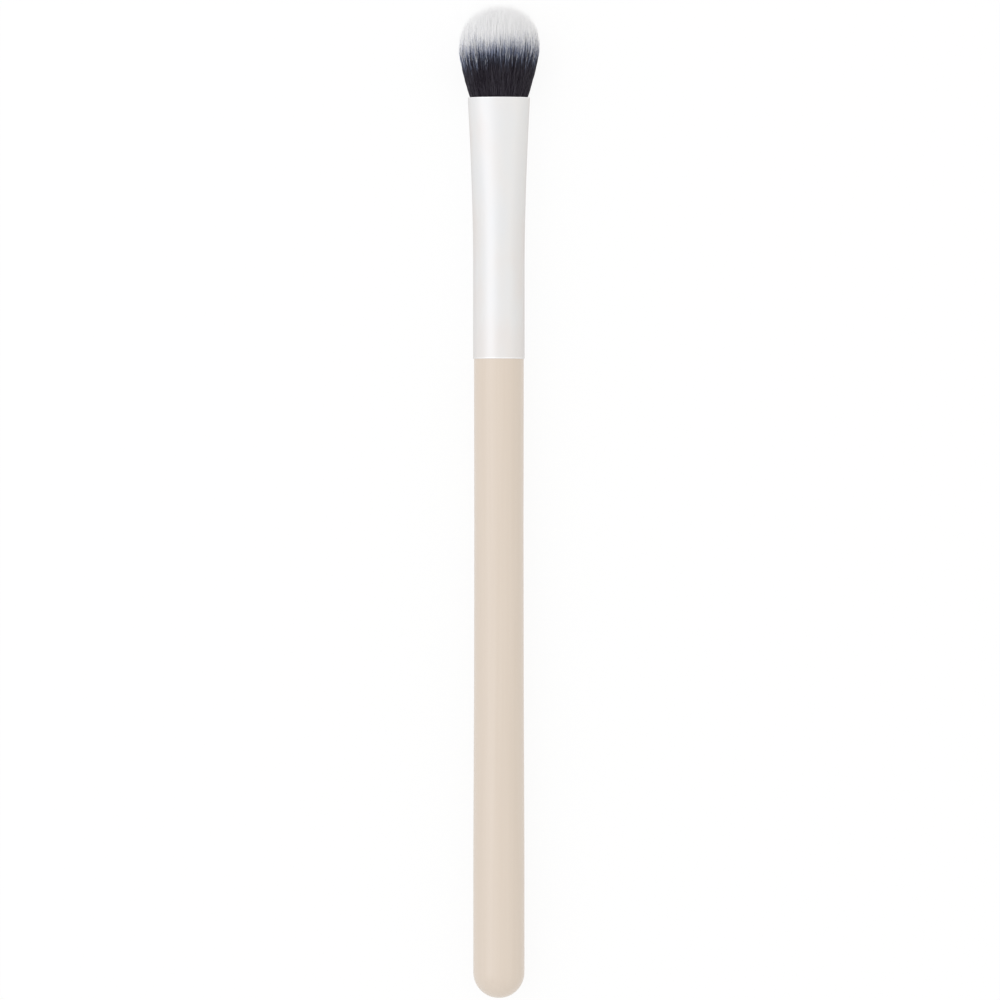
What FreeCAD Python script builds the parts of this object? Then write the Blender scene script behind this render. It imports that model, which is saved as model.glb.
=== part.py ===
import FreeCAD, Part
import os
import Sketcher

# Eyeshadow brush, lying down: its axis runs along Y with the tuft towards +Y, the wide way of the oval
# mouth is X and the thin way is Z. Each piece is drawn standing on its own axis, with height 0 where the
# ferrule meets the handle's shoulder, and its Placement lays it down.
doc = FreeCAD.newDocument("eyeshadow_brush")
sheet = doc.addObject("Spreadsheet::Sheet", "Sizes")

# Driving sizes in millimetres; the two curves are exponents
driving_sizes = {
    "handle_length": "103.1",
    "tail_diameter": "8.26",
    "tail_straight": "19.4",
    "waist_hollow": "0.09",
    "shoulder_step": "0.13",
    "tenon_end_gap": "2.0",
    "tenon_chamfer": "0.8",
    "tube_diameter": "8.3",
    "tube_wall": "0.3",
    "round_length": "16.0",
    "taper_length": "26.2",
    "mouth_width": "10.05",
    "mouth_thickness": "6.4",
    "press_curve": "1.65",
    "edge_radius": "0.15",
    "glue_film": "0.1",
    "plug_above_round": "7.2",
    "plug_length": "5.0",
    "root_clearance": "0.05",
    "flare_height": "7.9",
    "dome_height": "6.8",
    "tuft_width": "13.2",
    "tuft_thickness": "9.0",
    "flare_curve": "1.3",
}
for row, (alias, value) in enumerate(driving_sizes.items(), start=1):
    sheet.set(f"A{row}", alias)
    sheet.set(f"B{row}", value)
    sheet.setAlias(f"B{row}", alias)
doc.recompute()

# Sizes that follow from the driving ones
ferrule_length = "(Sizes.round_length + Sizes.taper_length)"
bore_diameter = "(Sizes.tube_diameter - 2 * Sizes.tube_wall)"
tenon_diameter = f"({bore_diameter} - 2 * Sizes.glue_film)"
tenon_length = "(Sizes.round_length - Sizes.tenon_end_gap)"
shoulder_diameter = "(Sizes.tube_diameter - 2 * Sizes.shoulder_step)"
flank_length = "(Sizes.handle_length - Sizes.tail_diameter / 2 - Sizes.tail_straight)"
flank_radius = f"({flank_length} ^ 2 / (8 * Sizes.waist_hollow) + Sizes.waist_hollow / 2)"
plug_start = "(Sizes.round_length + Sizes.plug_above_round)"
root_start = f"({plug_start} + Sizes.plug_length)"
widest_at = f"({ferrule_length} + Sizes.flare_height)"
tuft_tip = f"({widest_at} + Sizes.dome_height)"
shoulder_along = f"((Sizes.handle_length - {tuft_tip}) / 2)"
axis_height = "(max(Sizes.tube_diameter; Sizes.tail_diameter; Sizes.tuft_thickness) / 2)"
rounding = "min(Sizes.edge_radius; 0.45 * Sizes.tube_wall)"
in_bore = "(Sizes.tube_wall + Sizes.root_clearance)"
throat_width = f"(Sizes.mouth_width - 2 * {in_bore})"
throat_thickness = f"(Sizes.mouth_thickness - 2 * {in_bore})"

LAID_DOWN = FreeCAD.Rotation(FreeCAD.Vector(1, 0, 0), -90)
ON_AXIS = FreeCAD.Vector(0, 0, 0)
ORIGIN_POINT = (-1, 1)
X_AXIS, Y_AXIS = range(-1, -3, -1)
START, END, CENTRE = range(1, 4)
TAPER_STEPS = 8
PLUG_STEPS = 2
ROOT_STEPS = 4
FLARE_STEPS = 8
DOME_STEPS = 12
BLUNT_TIP_DEGREES = 84
LEVEL_TOLERANCE = 1e-4
SIN_45 = 0.5 ** 0.5


def new_piece(label):
    """A body laid along Y, with its axis at the height that rests the brush on the table."""
    body = doc.addObject("PartDesign::Body", label)
    body.Label = label
    body.Placement = FreeCAD.Placement(ON_AXIS, LAID_DOWN)
    body.setExpression(".Placement.Base.y", shoulder_along)
    body.setExpression(".Placement.Base.z", axis_height)
    return body


def new_sketch(body, name, plane_role, height="0"):
    """A sketch on one of the body's own origin planes, lifted to a height along the plane's normal."""
    sketch = body.newObject("Sketcher::SketchObject", name)
    plane = next(feature for feature in body.Origin.OriginFeatures if feature.Role == plane_role)
    sketch.AttachmentSupport = (plane, [""])
    sketch.MapMode = "FlatFace"
    sketch.setExpression(".AttachmentOffset.Base.z", height)
    return sketch


def dimension(sketch, name, size, kind, *places):
    """A named constraint whose value is bound to a size."""
    index = sketch.addConstraint(Sketcher.Constraint(kind, *places, sketch.evalExpression(size)))
    sketch.renameConstraint(index, name)
    sketch.setExpression(f"Constraints.{name}", size)


def circle(sketch, name, diameter):
    """A circle on the brush's axis."""
    radius = sketch.evalExpression(diameter) / 2
    index = sketch.addGeometry(Part.Circle(ON_AXIS, FreeCAD.Vector(0, 0, 1), radius))
    sketch.addConstraint(Sketcher.Constraint("Coincident", index, CENTRE, *ORIGIN_POINT))
    dimension(sketch, name, diameter, "Diameter", index)


def round_section(body, name, height, diameter):
    """A circular cross-section of the brush at a height."""
    sketch = new_sketch(body, name, "XY_Plane", height)
    circle(sketch, "diameter", diameter)
    return sketch


def oval_section(body, name, height, width, thickness):
    """An elliptical cross-section of the brush at a height, wide along X."""
    sketch = new_sketch(body, name, "XY_Plane", height)
    half_width = sketch.evalExpression(width) / 2
    half_thickness = sketch.evalExpression(thickness) / 2
    ellipse = sketch.addGeometry(Part.Ellipse(ON_AXIS, half_width, half_thickness))
    sketch.exposeInternalGeometry(ellipse)
    wide_axis = ellipse + 1
    thin_axis = ellipse + 2
    sketch.addConstraint(Sketcher.Constraint("Coincident", ellipse, CENTRE, *ORIGIN_POINT))
    sketch.addConstraint(Sketcher.Constraint("Horizontal", wide_axis))
    dimension(sketch, "width", width, "Distance", wide_axis)
    dimension(sketch, "thickness", thickness, "Distance", thin_axis)
    return sketch


def pressed_section(body, name, height, inset):
    """The tube's outline at a height, drawn in by an inset: round at the foot, oval towards the mouth."""
    pressed = f"((({height}) - Sizes.round_length) / Sizes.taper_length) ^ Sizes.press_curve"
    round_size = f"Sizes.tube_diameter - 2 * ({inset})"
    width = f"{round_size} + (Sizes.mouth_width - Sizes.tube_diameter) * {pressed}"
    thickness = f"{round_size} + (Sizes.mouth_thickness - Sizes.tube_diameter) * {pressed}"
    return oval_section(body, name, height, width, thickness)


def loft(body, kind, name, sections):
    """An additive or subtractive loft, ruled from each cross-section to the next."""
    feature = body.newObject(kind, name)
    feature.Profile = sections[0]
    feature.Sections = sections[1:]
    feature.Ruled = True
    doc.recompute()
    return feature


def heights_between(low, high, steps):
    """Heights that split a stretch evenly, both ends included."""
    return [f"({low}) + (({high}) - ({low})) * {step} / {steps}" for step in range(steps + 1)]


def outer_edge_at(feature, height):
    """The name of the longest edge of a feature that lies level at a height, in a list."""
    level = feature.evalExpression(height)
    level_edges = []
    for number, edge in enumerate(feature.Shape.Edges, start=1):
        ends = (edge.BoundBox.ZMin, edge.BoundBox.ZMax)
        if all(abs(end - level) < LEVEL_TOLERANCE for end in ends):
            level_edges.append((edge.Length, f"Edge{number}"))
    return [max(level_edges)[1]]


# Handle: a wooden stick turned about its axis, with a domed tail, a parallel stretch, a slight waist, a
# shoulder for the ferrule's end and a chamfered tenon that goes up into the ferrule
handle = new_piece("handle")
profile = new_sketch(handle, "handle_profile", "XZ_Plane")
tail_radius = profile.evalExpression("Sizes.tail_diameter / 2")
shoulder_radius = profile.evalExpression(f"{shoulder_diameter} / 2")
tenon_radius = profile.evalExpression(f"{tenon_diameter} / 2")
tenon_end = profile.evalExpression(tenon_length)
chamfer = profile.evalExpression("Sizes.tenon_chamfer")
tail_tip_at = profile.evalExpression("-Sizes.handle_length")
dome_end_at = tail_tip_at + tail_radius
straight_end_at = dome_end_at + profile.evalExpression("Sizes.tail_straight")
waist_radius = (tail_radius + shoulder_radius) / 2 - profile.evalExpression("Sizes.waist_hollow")

tail_tip = FreeCAD.Vector(0, tail_tip_at, 0)
dome_middle = FreeCAD.Vector(tail_radius * SIN_45, dome_end_at - tail_radius * SIN_45, 0)
dome_end = FreeCAD.Vector(tail_radius, dome_end_at, 0)
straight_end = FreeCAD.Vector(tail_radius, straight_end_at, 0)
waist = FreeCAD.Vector(waist_radius, straight_end_at / 2, 0)
shoulder_edge = FreeCAD.Vector(shoulder_radius, 0, 0)
tenon_foot = FreeCAD.Vector(tenon_radius, 0, 0)
chamfer_foot = FreeCAD.Vector(tenon_radius, tenon_end - chamfer, 0)
chamfer_top = FreeCAD.Vector(tenon_radius - chamfer, tenon_end, 0)
tenon_top = FreeCAD.Vector(0, tenon_end, 0)

DOME, STRAIGHT, FLANK, SHOULDER, TENON, CHAMFER, TENON_END, LATHE_AXIS = range(8)
profile.addGeometry([
    Part.Arc(tail_tip, dome_middle, dome_end),
    Part.LineSegment(dome_end, straight_end),
    Part.Arc(shoulder_edge, waist, straight_end),
    Part.LineSegment(shoulder_edge, tenon_foot),
    Part.LineSegment(tenon_foot, chamfer_foot),
    Part.LineSegment(chamfer_foot, chamfer_top),
    Part.LineSegment(chamfer_top, tenon_top),
    Part.LineSegment(tenon_top, tail_tip),
])
profile.addConstraint([
    Sketcher.Constraint("Tangent", DOME, END, STRAIGHT, START),
    Sketcher.Constraint("Coincident", STRAIGHT, END, FLANK, END),
    Sketcher.Constraint("Coincident", FLANK, START, SHOULDER, START),
    Sketcher.Constraint("Coincident", SHOULDER, END, TENON, START),
    Sketcher.Constraint("Coincident", TENON, END, CHAMFER, START),
    Sketcher.Constraint("Coincident", CHAMFER, END, TENON_END, START),
    Sketcher.Constraint("Coincident", TENON_END, END, LATHE_AXIS, START),
    Sketcher.Constraint("Coincident", LATHE_AXIS, END, DOME, START),
    Sketcher.Constraint("PointOnObject", LATHE_AXIS, START, Y_AXIS),
    Sketcher.Constraint("PointOnObject", LATHE_AXIS, END, Y_AXIS),
    Sketcher.Constraint("PointOnObject", DOME, CENTRE, Y_AXIS),
    Sketcher.Constraint("PointOnObject", SHOULDER, START, X_AXIS),
    Sketcher.Constraint("Vertical", STRAIGHT),
    Sketcher.Constraint("Horizontal", SHOULDER),
    Sketcher.Constraint("Vertical", TENON),
    Sketcher.Constraint("Horizontal", TENON_END),
])
dimension(profile, "length", "Sizes.handle_length", "DistanceY", DOME, START, *ORIGIN_POINT)
dimension(profile, "tail_radius", "Sizes.tail_diameter / 2", "Radius", DOME)
dimension(profile, "tail_straight", "Sizes.tail_straight", "DistanceY", STRAIGHT, START, STRAIGHT, END)
dimension(profile, "flank_radius", flank_radius, "Radius", FLANK)
dimension(profile, "shoulder", f"{shoulder_diameter} / 2", "DistanceX", *ORIGIN_POINT, SHOULDER, START)
dimension(profile, "tenon_radius", f"{tenon_diameter} / 2", "DistanceX", *ORIGIN_POINT, TENON, START)
dimension(profile, "tenon_length", tenon_length, "DistanceY", *ORIGIN_POINT, TENON_END, START)
dimension(profile, "chamfer_in", "Sizes.tenon_chamfer", "DistanceX", CHAMFER, END, CHAMFER, START)
dimension(profile, "chamfer_down", "Sizes.tenon_chamfer", "DistanceY", CHAMFER, START, CHAMFER, END)
turning = handle.newObject("PartDesign::Revolution", "handle_turning")
turning.Profile = profile
turning.ReferenceAxis = (profile, ["V_Axis"])
turning.Angle = 360
doc.recompute()

# Tenon glue: the film of adhesive that fills the gap between the tenon and the round end of the ferrule
tenon_glue = new_piece("tenon_glue")
film = new_sketch(tenon_glue, "film_section", "XY_Plane")
circle(film, "outer", bore_diameter)
circle(film, "inner", tenon_diameter)
sleeve = tenon_glue.newObject("PartDesign::Pad", "film_sleeve")
sleeve.Profile = film
sleeve.setExpression("Length", f"{tenon_length} - Sizes.tenon_chamfer")
doc.recompute()

# Ferrule: a thin drawn tube, round where it takes the tenon and pressed to an oval at its mouth with one
# wall thickness all the way, its lip and its bottom edge rounded over
ferrule = new_piece("ferrule")
tube_end = round_section(ferrule, "tube_end", "0", "Sizes.tube_diameter")
round_tube = ferrule.newObject("PartDesign::Pad", "round_tube")
round_tube.Profile = tube_end
round_tube.setExpression("Length", "Sizes.round_length")
doc.recompute()

taper_heights = heights_between("Sizes.round_length", ferrule_length, TAPER_STEPS)
taper_outside = [round_section(ferrule, "outside_0", "Sizes.round_length", "Sizes.tube_diameter")]
taper_inside = [round_section(ferrule, "inside_0", "Sizes.round_length", bore_diameter)]
for step, height in enumerate(taper_heights[1:], start=1):
    taper_outside.append(pressed_section(ferrule, f"outside_{step}", height, "0"))
    taper_inside.append(pressed_section(ferrule, f"inside_{step}", height, "Sizes.tube_wall"))
pressed_tube = loft(ferrule, "PartDesign::AdditiveLoft", "pressed_tube", taper_outside)
solid_volume = pressed_tube.Shape.Volume

bore_end = round_section(ferrule, "bore_end", "0", bore_diameter)
round_bore = ferrule.newObject("PartDesign::Pocket", "round_bore")
round_bore.Profile = bore_end
round_bore.Reversed = True
round_bore.setExpression("Length", "Sizes.round_length")
doc.recompute()
pressed_bore = loft(ferrule, "PartDesign::SubtractiveLoft", "pressed_bore", taper_inside)
bore_volume = round_bore.evalExpression(f"pi * {bore_diameter} ^ 2 / 4 * Sizes.round_length")
if abs(solid_volume - round_bore.Shape.Volume - bore_volume) > 0.01 * bore_volume:
    raise RuntimeError("the round bore does not run up into the ferrule")

rounded_lip = ferrule.newObject("PartDesign::Fillet", "rounded_lip")
rounded_lip.Base = (pressed_bore, outer_edge_at(pressed_bore, ferrule_length))
rounded_lip.setExpression("Radius", rounding)
doc.recompute()
rounded_foot = ferrule.newObject("PartDesign::Fillet", "rounded_foot")
rounded_foot.Base = (rounded_lip, outer_edge_at(rounded_lip, "0"))
rounded_foot.setExpression("Radius", rounding)
doc.recompute()

# Tuft glue: the plug of cured resin that pots the root ends of the filaments across the pressed bore
tuft_glue = new_piece("tuft_glue")
plug_sections = [pressed_section(tuft_glue, f"plug_{step}", height, in_bore)
                 for step, height in enumerate(heights_between(plug_start, root_start, PLUG_STEPS))]
loft(tuft_glue, "PartDesign::AdditiveLoft", "resin_plug", plug_sections)

# Bristle tuft: the filaments as one bundle, packed into the pressed bore from the glue up to the mouth,
# flaring from the lip to the widest level and closed by a dome
tuft = new_piece("bristle_tuft")
root_sections = [pressed_section(tuft, f"root_{step}", height, in_bore)
                 for step, height in enumerate(heights_between(root_start, ferrule_length, ROOT_STEPS))]
loft(tuft, "PartDesign::AdditiveLoft", "roots", root_sections)

flare_sections = []
for step, height in enumerate(heights_between(ferrule_length, widest_at, FLARE_STEPS)):
    flared = f"(1 - (1 - {step} / {FLARE_STEPS}) ^ Sizes.flare_curve)"
    flare_width = f"{throat_width} + (Sizes.tuft_width - {throat_width}) * {flared}"
    flare_thickness = f"{throat_thickness} + (Sizes.tuft_thickness - {throat_thickness}) * {flared}"
    flare_sections.append(oval_section(tuft, f"flare_{step}", height, flare_width, flare_thickness))
loft(tuft, "PartDesign::AdditiveLoft", "flare", flare_sections)

dome_sections = []
for step in range(DOME_STEPS + 1):
    angle = f"{BLUNT_TIP_DEGREES} deg * {step} / {DOME_STEPS}"
    height = f"{widest_at} + Sizes.dome_height * sin({angle}) / sin({BLUNT_TIP_DEGREES} deg)"
    dome_width = f"Sizes.tuft_width * cos({angle})"
    dome_thickness = f"Sizes.tuft_thickness * cos({angle})"
    dome_sections.append(oval_section(tuft, f"dome_{step}", height, dome_width, dome_thickness))
loft(tuft, "PartDesign::AdditiveLoft", "dome", dome_sections)

for item in doc.Objects:
    if "Invalid" in item.State or "Error" in item.State:
        raise RuntimeError(f"{item.Label} failed: {item.State}")
pieces = [handle, tenon_glue, ferrule, tuft_glue, tuft]
for piece in pieces:
    if piece.Shape.isNull() or not piece.Shape.isValid() or len(piece.Shape.Solids) != 1:
        raise RuntimeError(f"{piece.Label} is not one valid solid")
os.makedirs("parts", exist_ok=True)
for piece in pieces:
    piece.Shape.exportStep(f"parts/{piece.Label}.step")
    box = piece.Shape.optimalBoundingBox(True, False)
    extents = f"{box.XLength:.2f} x {box.YLength:.2f} x {box.ZLength:.2f} mm"
    print(f"{piece.Label}: {piece.Shape.Volume:.1f} mm3, {extents}")
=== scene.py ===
import math

import bpy
import numpy as np
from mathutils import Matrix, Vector, noise


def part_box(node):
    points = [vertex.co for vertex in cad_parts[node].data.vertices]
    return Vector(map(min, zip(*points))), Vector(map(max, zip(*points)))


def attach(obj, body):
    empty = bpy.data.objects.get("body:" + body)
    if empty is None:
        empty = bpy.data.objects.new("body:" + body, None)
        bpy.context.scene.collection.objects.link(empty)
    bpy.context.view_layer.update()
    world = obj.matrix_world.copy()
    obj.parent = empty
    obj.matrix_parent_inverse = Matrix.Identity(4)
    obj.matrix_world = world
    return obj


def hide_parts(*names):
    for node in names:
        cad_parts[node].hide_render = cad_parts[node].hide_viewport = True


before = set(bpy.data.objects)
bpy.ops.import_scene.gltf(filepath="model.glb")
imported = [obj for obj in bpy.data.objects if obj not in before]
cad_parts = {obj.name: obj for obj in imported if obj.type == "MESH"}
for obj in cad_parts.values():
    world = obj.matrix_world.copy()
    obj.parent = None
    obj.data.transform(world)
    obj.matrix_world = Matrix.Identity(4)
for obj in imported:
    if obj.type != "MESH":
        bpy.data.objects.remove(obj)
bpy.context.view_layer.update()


# Handle
# A stick of turned wood with a slight waist and a domed tail, sprayed with coats of beige lacquer that are
# left satin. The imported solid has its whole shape, with the tenon that is glued into the ferrule.
MM = 0.001
BEIGE_DEEP = (0.708, 0.612, 0.519, 1.0)
BEIGE_PALE = (0.726, 0.631, 0.538, 1.0)
GRAIN_WIDTH = 0.5 * MM
GRAIN_LENGTH = 30.0 * MM
GRAIN_RELIEF = 0.001 * MM
ORANGE_PEEL_SIZE = 0.8 * MM
ORANGE_PEEL_RELIEF = 0.004 * MM
SPRAY_CLOUD_SIZE = 9.0 * MM
LACQUER_ROUGHNESS = (0.32, 0.38)
LACQUER_COAT = 0.3
LACQUER_COAT_ROUGHNESS = 0.3
NOISE_MIDDLE = (0.3, 0.7)


def new_finish(name):
    """A material with the nodes, the links and the one shader of its tree."""
    finish = bpy.data.materials.new(name)
    finish.use_nodes = True
    tree = finish.node_tree
    return finish, tree.nodes, tree.links, tree.nodes["Principled BSDF"]


def speckle(nodes, links, place, size, detail=2.0):
    """Noise whose lumps are about this size across, or this size each way."""
    sizes = size if isinstance(size, tuple) else (size, size, size)
    stretch = nodes.new("ShaderNodeMapping")
    stretch.inputs["Scale"].default_value = [1.0 / lump for lump in sizes]
    links.new(place, stretch.inputs["Vector"])
    lumps = nodes.new("ShaderNodeTexNoise")
    lumps.inputs["Scale"].default_value = 1.0
    lumps.inputs["Detail"].default_value = detail
    links.new(stretch.outputs["Vector"], lumps.inputs["Vector"])
    return lumps.outputs["Fac"]


def ramp(nodes, links, amount, stops):
    """A colour that runs through these stops as the amount goes from 0 to 1."""
    colours = nodes.new("ShaderNodeValToRGB")
    row = colours.color_ramp.elements
    while len(row) < len(stops):
        row.new(0.5)
    for stop, (position, colour) in zip(row, stops):
        stop.position = position
        stop.color = colour
    links.new(amount, colours.inputs["Fac"])
    return colours.outputs["Color"]


def ranged(nodes, links, amount, low, high):
    """The middle of a noise spread out over the range from low to high."""
    spread = nodes.new("ShaderNodeMapRange")
    spread.inputs["From Min"].default_value = NOISE_MIDDLE[0]
    spread.inputs["From Max"].default_value = NOISE_MIDDLE[1]
    spread.inputs["To Min"].default_value = low
    spread.inputs["To Max"].default_value = high
    links.new(amount, spread.inputs["Value"])
    return spread.outputs["Result"]


def relief(nodes, links, amount, height, under=None):
    """A bump of this height in metres, laid over another one where it is given."""
    bump = nodes.new("ShaderNodeBump")
    bump.inputs["Strength"].default_value = 1.0
    bump.inputs["Distance"].default_value = height
    links.new(amount, bump.inputs["Height"])
    if under is not None:
        links.new(under, bump.inputs["Normal"])
    return bump.outputs["Normal"]


lacquer, nodes, links, shader = new_finish("beige_satin_lacquer")
place = nodes.new("ShaderNodeTexCoord").outputs["Object"]
grain = speckle(nodes, links, place, (GRAIN_WIDTH, GRAIN_LENGTH, GRAIN_WIDTH), detail=4.0)
peel = speckle(nodes, links, place, ORANGE_PEEL_SIZE)
cloud = speckle(nodes, links, place, SPRAY_CLOUD_SIZE)
beige = ramp(nodes, links, grain, list(zip(NOISE_MIDDLE, (BEIGE_DEEP, BEIGE_PALE))))
links.new(beige, shader.inputs["Base Color"])
links.new(ranged(nodes, links, cloud, *LACQUER_ROUGHNESS), shader.inputs["Roughness"])
grain_relief = relief(nodes, links, grain, GRAIN_RELIEF)
links.new(relief(nodes, links, peel, ORANGE_PEEL_RELIEF, grain_relief), shader.inputs["Normal"])
shader.inputs["Coat Weight"].default_value = LACQUER_COAT
shader.inputs["Coat Roughness"].default_value = LACQUER_COAT_ROUGHNESS
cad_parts["handle"].material_slots[0].material = lacquer


# Tenon glue
# A thin sleeve of cured two-part adhesive that fills the gap between the handle's tenon and the ferrule's
# bore. It is squeezed out evenly as the two are pushed together, and stays hidden inside.
GLUE_AMBER = (0.58, 0.45, 0.24, 1.0)
GLUE_PALE = (0.66, 0.54, 0.34, 1.0)
GLUE_STREAK = 1.2 * MM
GLUE_ROUGHNESS = (0.15, 0.3)
GLUE_RELIEF = 0.01 * MM
STREAK_EDGES = (0.35, 0.65)


def cured_glue(name, deep, pale, streak):
    """Cured resin with cloudy streaks and a glossy, slightly uneven skin."""
    resin, nodes, links, shader = new_finish(name)
    place = nodes.new("ShaderNodeTexCoord").outputs["Object"]
    swirl = speckle(nodes, links, place, streak, detail=3.0)
    cloudy = ramp(nodes, links, swirl, list(zip(STREAK_EDGES, (deep, pale))))
    links.new(cloudy, shader.inputs["Base Color"])
    links.new(ranged(nodes, links, swirl, *GLUE_ROUGHNESS), shader.inputs["Roughness"])
    links.new(relief(nodes, links, swirl, GLUE_RELIEF), shader.inputs["Normal"])
    return resin


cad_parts["tenon_glue"].material_slots[0].material = cured_glue(
    "tenon_adhesive_film", GLUE_AMBER, GLUE_PALE, GLUE_STREAK)


# Ferrule
# One drawn aluminium tube, pressed from round at the handle to an oval mouth and sprayed with a white pearl
# lacquer, which is creamier towards the handle and leaves the cut rims at its two ends bare. The rims' pale
# colour is partly the bare metal and partly a painted highlight along each rim. It is pushed over the glued
# tenon, and its mouth holds the tuft.
PEARL_WARM = (0.80, 0.775, 0.76, 1.0)
PEARL_WHITE = (0.80, 0.795, 0.79, 1.0)
PEARL_COOL = (0.79, 0.795, 0.80, 1.0)
PEARL_TINT_SIZE = (5.0 * MM, 14.0 * MM, 5.0 * MM)
PEARL_TINT_STOPS = (0.35, 0.5, 0.65)
FOOT_WARMTH = 0.13
FOOT_WARM_LENGTH = 24.0 * MM
FLAKE_SIZE = 0.12 * MM
FLAKE_RELIEF = 0.001 * MM
PEARL_PEEL_RELIEF = 0.002 * MM
PEARL_ROUGHNESS = (0.43, 0.51)
PEARL_METALLIC = 0.42
PEARL_EDGE = (0.55, 0.50, 0.45, 1.0)
PEARL_COAT = 0.15
PEARL_COAT_ROUGHNESS = 0.25
RIM_BARE_HIGHLIGHT = (0.93, 0.93, 0.935, 1.0)
RIM_METALLIC = 0.9
RIM_WIDTH = 0.16 * MM
RIM_FADE = 0.05 * MM
# The Mix node's colour sockets share their names with its other sockets, so they go by number
MIX_AMOUNT, MIX_UNDER, MIX_OVER = 0, 6, 7
MIX_COLOUR = 2


def scaled(nodes, links, amount, low, high):
    """An amount from 0 to 1 spread over the range from low to high."""
    spread = nodes.new("ShaderNodeMapRange")
    spread.clamp = False
    spread.inputs["To Min"].default_value = low
    spread.inputs["To Max"].default_value = high
    links.new(amount, spread.inputs["Value"])
    return spread.outputs["Result"]


def along(nodes, links, place):
    """How far along the brush a spot lies."""
    ways = nodes.new("ShaderNodeSeparateXYZ")
    links.new(place, ways.inputs["Vector"])
    return ways.outputs["Y"]


def warmer_below(nodes, links, place, amount, start, reach, warmth):
    """An amount that is less by the warmth at the start along the brush, and whole a reach further on."""
    slope = nodes.new("ShaderNodeMapRange")
    slope.inputs["From Min"].default_value = start
    slope.inputs["From Max"].default_value = start + reach
    slope.inputs["To Min"].default_value = -warmth
    slope.inputs["To Max"].default_value = 0.0
    links.new(along(nodes, links, place), slope.inputs["Value"])
    shifted = nodes.new("ShaderNodeMath")
    shifted.operation = "ADD"
    links.new(amount, shifted.inputs[0])
    links.new(slope.outputs["Result"], shifted.inputs[1])
    return shifted.outputs["Value"]


def near_ends(nodes, links, place, low, high, width, fade):
    """1 within a width of the low or the high end along the brush, and 0 between them."""
    from_middle = nodes.new("ShaderNodeMath")
    from_middle.operation = "SUBTRACT"
    from_middle.inputs[1].default_value = (low + high) / 2
    links.new(along(nodes, links, place), from_middle.inputs[0])
    either_way = nodes.new("ShaderNodeMath")
    either_way.operation = "ABSOLUTE"
    links.new(from_middle.outputs["Value"], either_way.inputs[0])
    edge = nodes.new("ShaderNodeMapRange")
    edge.inputs["From Min"].default_value = (high - low) / 2 - width - fade
    edge.inputs["From Max"].default_value = (high - low) / 2 - width
    links.new(either_way.outputs["Value"], edge.inputs["Value"])
    return edge.outputs["Result"]


def bare_highlight_to(nodes, links, amount, under, bare):
    """A colour that gives way to a pale bare one, partly bare metal and partly a painted highlight, where
    the amount is 1.
    """
    blend = nodes.new("ShaderNodeMix")
    blend.data_type = "RGBA"
    links.new(amount, blend.inputs[MIX_AMOUNT])
    links.new(under, blend.inputs[MIX_UNDER])
    blend.inputs[MIX_OVER].default_value = bare
    return blend.outputs[MIX_COLOUR]


pearl, nodes, links, shader = new_finish("white_pearl_lacquer")
place = nodes.new("ShaderNodeTexCoord").outputs["Object"]
foot, lip = [corner.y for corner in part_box("ferrule")]
tint = speckle(nodes, links, place, PEARL_TINT_SIZE)
tint = warmer_below(nodes, links, place, tint, foot, FOOT_WARM_LENGTH, FOOT_WARMTH)
flake = speckle(nodes, links, place, FLAKE_SIZE)
peel = speckle(nodes, links, place, ORANGE_PEEL_SIZE)
pearly = ramp(nodes, links, tint, list(zip(PEARL_TINT_STOPS, (PEARL_WARM, PEARL_WHITE, PEARL_COOL))))
# The cut rims at both ends are bare metal, and their colour is painted pale as a painted highlight along
# each rim
rim = near_ends(nodes, links, place, foot, lip, RIM_WIDTH, RIM_FADE)
links.new(bare_highlight_to(nodes, links, rim, pearly, RIM_BARE_HIGHLIGHT), shader.inputs["Base Color"])
links.new(scaled(nodes, links, rim, PEARL_METALLIC, RIM_METALLIC), shader.inputs["Metallic"])
links.new(ranged(nodes, links, flake, *PEARL_ROUGHNESS), shader.inputs["Roughness"])
flake_relief = relief(nodes, links, flake, FLAKE_RELIEF)
links.new(relief(nodes, links, peel, PEARL_PEEL_RELIEF, flake_relief), shader.inputs["Normal"])
shader.inputs["Specular Tint"].default_value = PEARL_EDGE
shader.inputs["Coat Weight"].default_value = PEARL_COAT
shader.inputs["Coat Roughness"].default_value = PEARL_COAT_ROUGHNESS
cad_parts["ferrule"].material_slots[0].material = pearl


# Tuft glue
# A plug of clear amber epoxy, poured round the root ends of the filaments inside the ferrule and cured
# there. It wets the bore all round, so it can't be pulled out, and nothing of it shows.
EPOXY_AMBER = (0.50, 0.36, 0.17, 1.0)
EPOXY_PALE = (0.60, 0.47, 0.27, 1.0)
EPOXY_STREAK = 2.0 * MM

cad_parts["tuft_glue"].material_slots[0].material = cured_glue(
    "tuft_potting_epoxy", EPOXY_AMBER, EPOXY_PALE, EPOXY_STREAK)


# Bristle tuft
# Nearly ten thousand synthetic filaments, slightly crimped and crossing, white with fine ground points
# and dyed near black from the root upwards. They are gathered point down in a domed cup, so that the
# points make the dome, and potted in the epoxy.
FILAMENTS = 9600
FILAMENT_RADIUS = 0.036 * MM
SIDES = 3
GOLDEN_ANGLE = math.pi * (3.0 - math.sqrt(5.0))
THROAT_WIDTH = 9.27 * MM
THROAT_THICKNESS = 5.62 * MM
ROOT_WIDTH = 8.0 * MM
ROOT_THICKNESS = 7.0 * MM
FLARE_HEIGHT = 7.9 * MM
FLARE_CURVE = 1.3
DOME_FULLNESS = 2.35
TIP_CURL = 0.06
TIP_OVERRUN = 0.3 * MM
LEAN = 0.3 * MM
SPLAY = 0.26 * MM
SPLAY_CURVE = 3
SWING = 0.11
SCATTER = 0.010
CRIMP = 0.07 * MM
CRIMP_LENGTHS = (3.0 * MM, 6.0 * MM)
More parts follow.
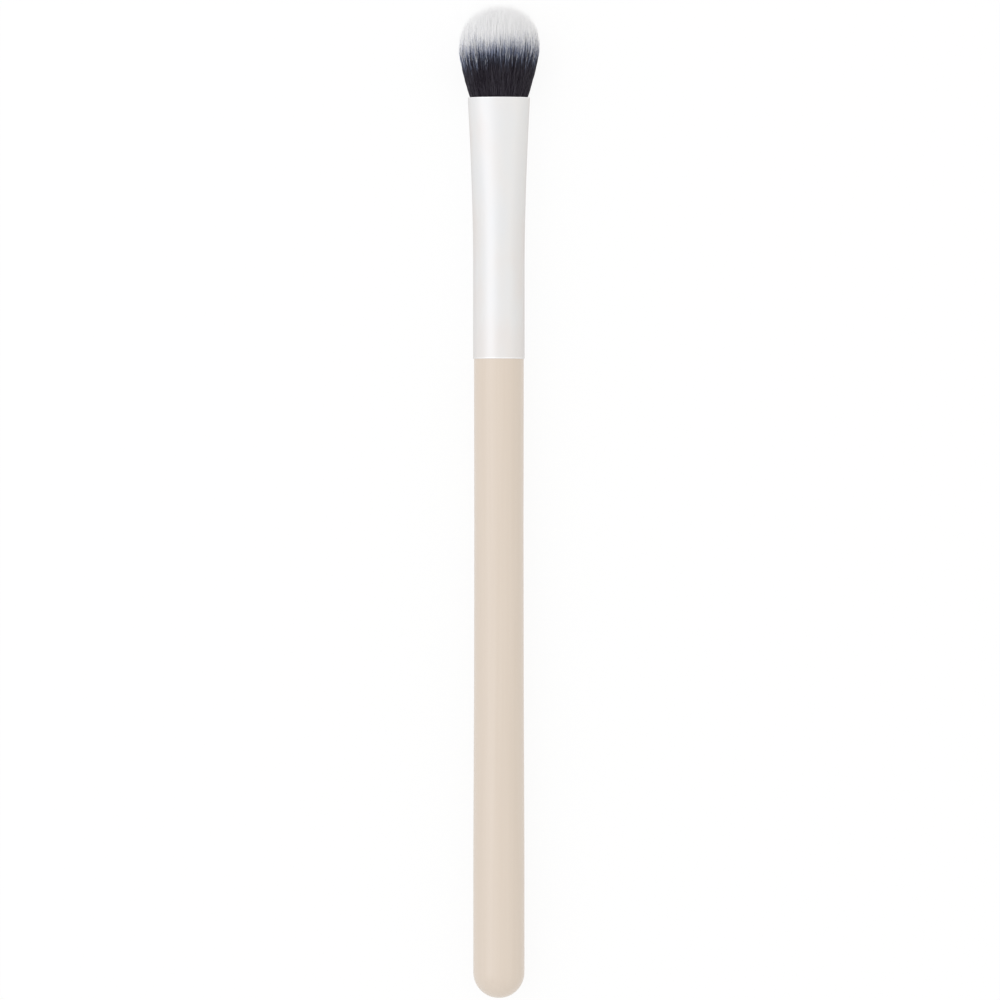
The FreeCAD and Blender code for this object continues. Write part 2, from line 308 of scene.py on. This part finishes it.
CRIMP_START = 1.5 * MM
SHORTFALL = 0.15 * MM
TIP_SCATTER = 0.28 * MM
POINT_SHARES = (0.42, 0.60, 0.78, 0.92, 1.0)
POINT_GIRTHS = (1.0, 0.85, 0.55, 0.28, 0.0)
DYE_LINE = 6.95 * MM
DYE_RISE_AND_RIGHT_SHADE = 0.6 * MM
DYE_BOW = 0.7 * MM
DYE_LOCK_SIZE = 0.15 * MM
DYE_LOCK_SEED = 3.0
DYE_LOCK_DEPTH = 1.8 * MM
DYE_SCATTER = 0.5 * MM
DYE_RAGGED_SIDES = 0.8
RIGHT_SHADE_STRANDS = 0.15
DYE_DEEPEST = 1.8 * MM
DYE_FADE = 4.0 * MM
DYE_LOW = 2.0 * MM
DYE_HIGH = 12.0 * MM
STRIP_WIDTH = 1 / 128
ROOT_BLACK = (0.0235, 0.0187, 0.0290, 1.0)
SLATE = (0.042, 0.048, 0.076, 1.0)
BLUE_GREY = (0.275, 0.315, 0.445, 1.0)
TIP_WHITE = (0.970, 0.9705, 0.973, 1.0)
DYE_STOPS = [(0.0, ROOT_BLACK), (0.35, SLATE), (0.65, BLUE_GREY), (1.0, TIP_WHITE)]
FILAMENT_ROUGHNESS = (0.42, 0.58)
FILAMENT_SHINE = 0.35
FILAMENT_RELIEF = 0.002 * MM
FILAMENT_LOT_SCALE = 60.0
SEED = 7

tuft_low, tuft_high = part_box("bristle_tuft")
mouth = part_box("ferrule")[1].y
axis_height = (tuft_low.z + tuft_high.z) / 2
tuft_height = tuft_high.y - mouth
half_width = (tuft_high.x - tuft_low.x) / 2 - FILAMENT_RADIUS - CRIMP
half_thickness = (tuft_high.z - tuft_low.z) / 2 - FILAMENT_RADIUS - CRIMP
root_depth = mouth - tuft_low.y
chance = np.random.default_rng(SEED)

# Where each filament stands in the bundle: evenly over the oval, from the core outwards, and a little off
number = np.arange(FILAMENTS)
outness = np.sqrt((number + 0.5) / FILAMENTS)
bearing = number * GOLDEN_ANGLE
across = outness * np.cos(bearing) + chance.normal(0.0, SCATTER, FILAMENTS)
upward = outness * np.sin(bearing) + chance.normal(0.0, SCATTER, FILAMENTS)
outness = np.hypot(across, upward)
squeeze = 1.0 / np.maximum(outness, 1.0)
across, upward, outness = across * squeeze, upward * squeeze, outness * squeeze

# The points are too fine to be seen, so they stand a little past the dome, some more and some less
dome = (1.0 - outness ** DOME_FULLNESS) ** (1.0 / DOME_FULLNESS)
length = FLARE_HEIGHT + (tuft_height - FLARE_HEIGHT) * dome + TIP_OVERRUN
length = length - chance.exponential(SHORTFALL, FILAMENTS) + chance.normal(0.0, TIP_SCATTER, FILAMENTS)

# How each filament strays from its place, both ways across, and how it is turned
splay = chance.normal(0.0, SPLAY, (2, FILAMENTS, 1))
crimp_phase = chance.uniform(0.0, 2.0 * math.pi, (2, FILAMENTS, 1))
crimp_length = chance.uniform(*CRIMP_LENGTHS, (2, FILAMENTS, 1))
turn = chance.uniform(0.0, 2.0 * math.pi, FILAMENTS)

# The dye line wanders from lock to lock, is lower on the left, and differs from filament to filament, most
# of all at the sides. Its rise to the right is partly the real dye line and partly painted shade on the
# tuft's shaded right side, and the extra raggedness on the right sets dark strands where shaded gaps fall,
# as painted shade
lock_across = across * half_width / DYE_LOCK_SIZE
lock_upward = upward * half_thickness / DYE_LOCK_SIZE
wander = np.array([noise.noise(Vector((*lock, DYE_LOCK_SEED))) for lock in zip(lock_across, lock_upward)])
dye = DYE_LINE + DYE_RISE_AND_RIGHT_SHADE * across - DYE_BOW * across ** 2 + DYE_LOCK_DEPTH * wander
# Painted shade: more dark strands on the right side, where the gaps between strands are shaded
raggedness_and_right_shade = 1.0 + DYE_RAGGED_SIDES * np.abs(across) + RIGHT_SHADE_STRANDS * across
dye = dye + np.maximum(raggedness_and_right_shade * chance.laplace(0.0, DYE_SCATTER, FILAMENTS), -DYE_DEEPEST)
dye_share = np.clip((dye - DYE_LOW) / (DYE_HIGH - DYE_LOW), 0.0, 1.0)

# How far each filament swings round the bundle on its way up, so that they cross
swing = chance.normal(0.0, SWING, FILAMENTS)

dyed, nodes, links, shader = new_finish("dip_dyed_filament")
dye_map = nodes.new("ShaderNodeUVMap")
dye_map.uv_map = "dye_height"
map_ways = nodes.new("ShaderNodeSeparateXYZ")
links.new(dye_map.outputs["UV"], map_ways.inputs["Vector"])
line_height = scaled(nodes, links, map_ways.outputs["X"], DYE_LOW, DYE_HIGH)
spot_height = scaled(nodes, links, map_ways.outputs["Y"], -root_depth, tuft_height)
above_line = nodes.new("ShaderNodeMath")
above_line.operation = "SUBTRACT"
links.new(spot_height, above_line.inputs[0])
links.new(line_height, above_line.inputs[1])
faded = nodes.new("ShaderNodeMapRange")
faded.inputs["From Min"].default_value = -DYE_FADE / 2
faded.inputs["From Max"].default_value = DYE_FADE / 2
links.new(above_line.outputs["Value"], faded.inputs["Value"])
links.new(ramp(nodes, links, faded.outputs["Result"], DYE_STOPS), shader.inputs["Base Color"])
lot = nodes.new("ShaderNodeTexNoise")
lot.inputs["Scale"].default_value = FILAMENT_LOT_SCALE
links.new(dye_map.outputs["UV"], lot.inputs["Vector"])
links.new(ranged(nodes, links, lot.outputs["Fac"], *FILAMENT_ROUGHNESS), shader.inputs["Roughness"])
links.new(relief(nodes, links, lot.outputs["Fac"], FILAMENT_RELIEF), shader.inputs["Normal"])
shader.inputs["Specular IOR Level"].default_value = FILAMENT_SHINE


def bundle_half(height, root, throat, widest):
    """Half the bundle's size at each height above the mouth, one way across."""
    flared = 1.0 - (1.0 - np.clip(height / FLARE_HEIGHT, 0.0, 1.0)) ** FLARE_CURVE
    above = np.clip((height - FLARE_HEIGHT) / (tuft_height - FLARE_HEIGHT), 0.0, 1.0)
    inside = np.clip(-height / root_depth, 0.0, 1.0)
    half = throat + (widest - throat) * flared + (root - throat) * inside
    return half * (1.0 - TIP_CURL * above ** 2)


def filament_tubes(chosen, ring_count):
    """The corners of the chosen filaments: a ring at the root, rings from the mouth on, and the point."""
    shares = np.linspace(0.0, 1.0, ring_count + 1)
    height = length[chosen, None] * shares
    height = np.concatenate([np.full((len(height), 1), -root_depth), height], axis=1)
    share_up = np.clip(height / tuft_height, 0.0, None)
    rise = share_up ** SPLAY_CURVE
    crimp = np.sin(crimp_phase[:, chosen] + 2.0 * math.pi * height / crimp_length[:, chosen])
    stray = splay[:, chosen] * rise + CRIMP * crimp * np.clip(height / CRIMP_START, 0.0, 1.0)
    swung = swing[chosen, None] * share_up
    wide = across[chosen, None] * np.cos(swung) - upward[chosen, None] * np.sin(swung)
    thick = upward[chosen, None] * np.cos(swung) + across[chosen, None] * np.sin(swung)
    x = wide * bundle_half(height, ROOT_WIDTH / 2, THROAT_WIDTH / 2, half_width)
    x = x + stray[0] + LEAN * rise
    z = thick * bundle_half(height, ROOT_THICKNESS / 2, THROAT_THICKNESS / 2, half_thickness)
    z = np.maximum(z + stray[1] + axis_height, FILAMENT_RADIUS)
    line = np.stack([x, height + mouth, z], axis=-1)
    corner = turn[chosen, None] + np.arange(SIDES) * 2.0 * math.pi / SIDES
    round_line = np.stack([np.cos(corner), np.zeros_like(corner), np.sin(corner)], axis=-1)
    girth = np.concatenate([[1.0], np.interp(shares, POINT_SHARES, POINT_GIRTHS)])[:-1]
    rings = line[:, :-1, None] + FILAMENT_RADIUS * girth[:, None, None] * round_line[:, None]
    return np.concatenate([rings.reshape(len(rings), -1, 3), line[:, -1:]], axis=1)


def filament_bundle(name, chosen, ring_count):
    """One piece of the tuft: tubes that close in a point, with the map that their dye is read from."""
    tubes = filament_tubes(chosen, ring_count)
    corner_count = tubes.shape[1]
    sides = [(side, (side + 1) % SIDES) for side in range(SIDES)]
    walls = [(ring * SIDES + b, ring * SIDES + a, (ring + 1) * SIDES + a, (ring + 1) * SIDES + b)
             for ring in range(ring_count) for a, b in sides]
    tips = [(ring_count * SIDES + b, ring_count * SIDES + a, corner_count - 1) for a, b in sides]
    butt = [tuple(range(SIDES))]
    starts = np.arange(len(tubes)) * corner_count
    faces = []
    for pattern in (walls, tips, butt):
        faces += (starts[:, None, None] + np.array(pattern)[None]).reshape(-1, len(pattern[0])).tolist()
    mesh = bpy.data.meshes.new(name)
    mesh.from_pydata(tubes.reshape(-1, 3).tolist(), [], faces)
    corner_of_loop = np.empty(len(mesh.loops), dtype=np.int32)
    mesh.loops.foreach_get("vertex_index", corner_of_loop)
    strip = (corner_of_loop % corner_count) % SIDES / SIDES * STRIP_WIDTH
    dye_across = dye_share[chosen][corner_of_loop // corner_count] * (1.0 - STRIP_WIDTH) + strip
    spot = tubes.reshape(-1, 3)[corner_of_loop, 1]
    dye_along = (spot - tuft_low.y) / (tuft_high.y - tuft_low.y)
    for map_name in ("OFBake", "dye_height"):
        uv_map = mesh.uv_layers.new(name=map_name)
        uv_map.data.foreach_set("uv", np.stack([dye_across, dye_along], axis=-1).ravel())
    mesh.materials.append(dyed)
    mesh.update()
    bundle = bpy.data.objects.new(name, mesh)
    bpy.context.scene.collection.objects.link(bundle)
    return bundle


# From the middle outwards the bundle is three pieces, each with its first filament, the one after its last,
# and its rings. The filaments that show have the most rings
TUFT_PIECES = (
    ("tuft_core", 0, 3600, 4),
    ("tuft_middle", 3600, 7200, 6),
    ("tuft_skirt", 7200, FILAMENTS, 13),
)

for name, first, end, ring_count in TUFT_PIECES:
    bundle = filament_bundle(name, slice(first, end), ring_count)
    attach(bundle, "root")
    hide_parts("bristle_tuft")


# Table, light and camera
# The brush lies on a white table in an even white surround, with a large soft lamp on the left and a weak
# warm one on the right. The camera looks straight down on it.
TABLE_SIZE = 8.0
PLAIN_WHITE = (1.0, 1.0, 1.0, 1.0)
TABLE_BOUNCE = (0.75, 0.75, 0.75, 1.0)
TABLE_GLOW_SHARE = 0.9
SURROUND_LEVEL = 0.91
SURROUND_COLOUR = (1.0, 0.99, 0.972, 1.0)
SOFTBOX_SIZE = (0.7, 1.5)
SOFTBOX_DISTANCE = 1.0
SOFTBOX_TILT = math.radians(-38.0)
SOFTBOX_AHEAD = 0.35
SOFTBOX_POWER = 2.4
SOFTBOX_COLOUR = (0.86, 0.89, 1.0)
FILL_SIZE = (0.5, 1.5)
FILL_DISTANCE = 1.0
FILL_AHEAD = 0.0
FILL_TILT = math.radians(48.0)
FILL_POWER = 0.36
FILL_COLOUR = (1.0, 0.90, 0.80)
VIEW_DISTANCE = 1.3
FRAME_WIDTH = 161.37 * MM
SENSOR_WIDTH = 36.0
VIEW_CENTRE = (0.18 * MM, 0.345 * MM)
ALL_BOUNCES = 40
DIFFUSE_BOUNCES = 32


def shows_white(nodes):
    """1 for what the camera sees straight, mirrored or through glass, and 0 for other light."""
    path = nodes.new("ShaderNodeLightPath")
    seen = path.outputs["Is Camera Ray"]
    for name in ("Is Glossy Ray", "Is Transmission Ray"):
        either = nodes.new("ShaderNodeMath")
        either.operation = "MAXIMUM"
        nodes.id_data.links.new(seen, either.inputs[0])
        nodes.id_data.links.new(path.outputs[name], either.inputs[1])
        seen = either.outputs["Value"]
    return seen


table_mesh = bpy.data.meshes.new("table")
reach = TABLE_SIZE / 2
table_mesh.from_pydata([(-reach, -reach, 0), (reach, -reach, 0), (reach, reach, 0), (-reach, reach, 0)],
                       [], [(0, 1, 2, 3)])
table = bpy.data.objects.new("table", table_mesh)
bpy.context.scene.collection.objects.link(table)
table_white = bpy.data.materials.new("white_table")
table_white.use_nodes = True
nodes, links = table_white.node_tree.nodes, table_white.node_tree.links
nodes.clear()
seen = shows_white(nodes)
matt = nodes.new("ShaderNodeBsdfDiffuse")
top_colour = ramp(nodes, links, seen, [(0.0, TABLE_BOUNCE), (1.0, PLAIN_WHITE)])
links.new(top_colour, matt.inputs["Color"])
glow = nodes.new("ShaderNodeEmission")
glow_share = nodes.new("ShaderNodeMath")
glow_share.operation = "MULTIPLY"
glow_share.inputs[1].default_value = TABLE_GLOW_SHARE
links.new(seen, glow_share.inputs[0])
blend = nodes.new("ShaderNodeMixShader")
links.new(glow_share.outputs["Value"], blend.inputs["Fac"])
links.new(matt.outputs["BSDF"], blend.inputs[1])
links.new(glow.outputs["Emission"], blend.inputs[2])
links.new(blend.outputs["Shader"], nodes.new("ShaderNodeOutputMaterial").inputs["Surface"])
table_mesh.materials.append(table_white)

surround = bpy.data.worlds.new("surround")
surround.use_nodes = True
bpy.context.scene.world = surround
nodes, links = surround.node_tree.nodes, surround.node_tree.links
nodes.clear()
light = nodes.new("ShaderNodeBackground")
light.inputs["Color"].default_value = SURROUND_COLOUR
light.inputs["Strength"].default_value = SURROUND_LEVEL
white = nodes.new("ShaderNodeBackground")
blend = nodes.new("ShaderNodeMixShader")
white.inputs["Color"].default_value = PLAIN_WHITE
links.new(shows_white(nodes), blend.inputs["Fac"])
links.new(light.outputs["Background"], blend.inputs[1])
links.new(white.outputs["Background"], blend.inputs[2])
links.new(blend.outputs["Shader"], nodes.new("ShaderNodeOutputWorld").inputs["Surface"])


def soft_lamp(name, size, distance, tilt, ahead, power, colour):
    """A flat lamp above the brush, tilted about its axis: below 0 to the left, above 0 to the right."""
    lamp_light = bpy.data.lights.new(name, "AREA")
    lamp_light.shape = "RECTANGLE"
    lamp_light.size, lamp_light.size_y = size
    lamp_light.energy = power
    lamp_light.color = colour
    lamp = bpy.data.objects.new(name, lamp_light)
    lamp.location = (distance * math.sin(tilt), ahead, distance * math.cos(tilt))
    lamp.rotation_euler = (0.0, tilt, 0.0)
    bpy.context.scene.collection.objects.link(lamp)


soft_lamp("softbox", SOFTBOX_SIZE, SOFTBOX_DISTANCE, SOFTBOX_TILT, SOFTBOX_AHEAD,
          SOFTBOX_POWER, SOFTBOX_COLOUR)
soft_lamp("fill", FILL_SIZE, FILL_DISTANCE, FILL_TILT, FILL_AHEAD,
          FILL_POWER, FILL_COLOUR)

camera_lens = bpy.data.cameras.new("camera")
camera_lens.sensor_width = SENSOR_WIDTH
camera_lens.lens = SENSOR_WIDTH * VIEW_DISTANCE / FRAME_WIDTH
camera = bpy.data.objects.new("camera", camera_lens)
camera.location = (VIEW_CENTRE[0], VIEW_CENTRE[1], axis_height + VIEW_DISTANCE)
bpy.context.scene.collection.objects.link(camera)
bpy.context.scene.camera = camera
bpy.context.scene.view_settings.view_transform = "Standard"
bpy.context.scene.cycles.max_bounces = ALL_BOUNCES
bpy.context.scene.cycles.diffuse_bounces = DIFFUSE_BOUNCES
